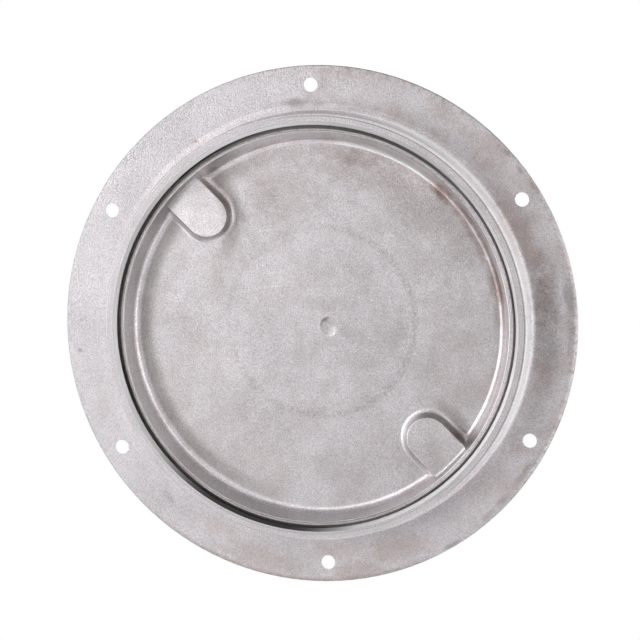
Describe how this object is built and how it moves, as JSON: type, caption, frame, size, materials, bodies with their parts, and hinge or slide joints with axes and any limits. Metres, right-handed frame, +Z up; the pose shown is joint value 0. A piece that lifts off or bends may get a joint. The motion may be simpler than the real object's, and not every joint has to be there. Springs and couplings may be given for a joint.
{
  "type": "deck inspection plate",
  "caption": "Round cast deck inspection plate: a flanged ring screwed to the deck, closed flush by a screw-in cover with finger pockets and a rubber seal.",
  "frame": {"origin": "on the plate's axis, in the plane of the flange's underside, which lies on the deck", "axes": "+Z up out of the deck, along the axis of the bore and the thread; two of the six screw holes lie on the Y axis"},
  "size_m": [0.2032, 0.2032, 0.0155],
  "materials": {
    "cast_steel": "fine sandy cast surface, unpolished underneath, satin on top",
    "seal_rubber": "matt black rubber"
  },
  "bodies": {
    "frame": {"deck_ring": "cast_steel"},
    "seal": {"sealing_ring": "seal_rubber"},
    "cover": {"screw_cover": "cast_steel"}
  },
  "joints": [
    {"name": "cover_lift", "type": "slide", "parent": "frame", "child": "seal", "axis": [0, 0, 1], "range_m": [0, 0.015]},
    {"name": "cover_turn", "type": "hinge", "parent": "seal", "child": "cover", "pos_m": [0, 0, 0], "axis": [0, 0, 1], "range_deg": [0, 1080]}
  ],
  "couplings": [
    {"joint": "cover_lift", "follows": "cover_turn", "m_per_rad": 0.00079577}
  ]
}
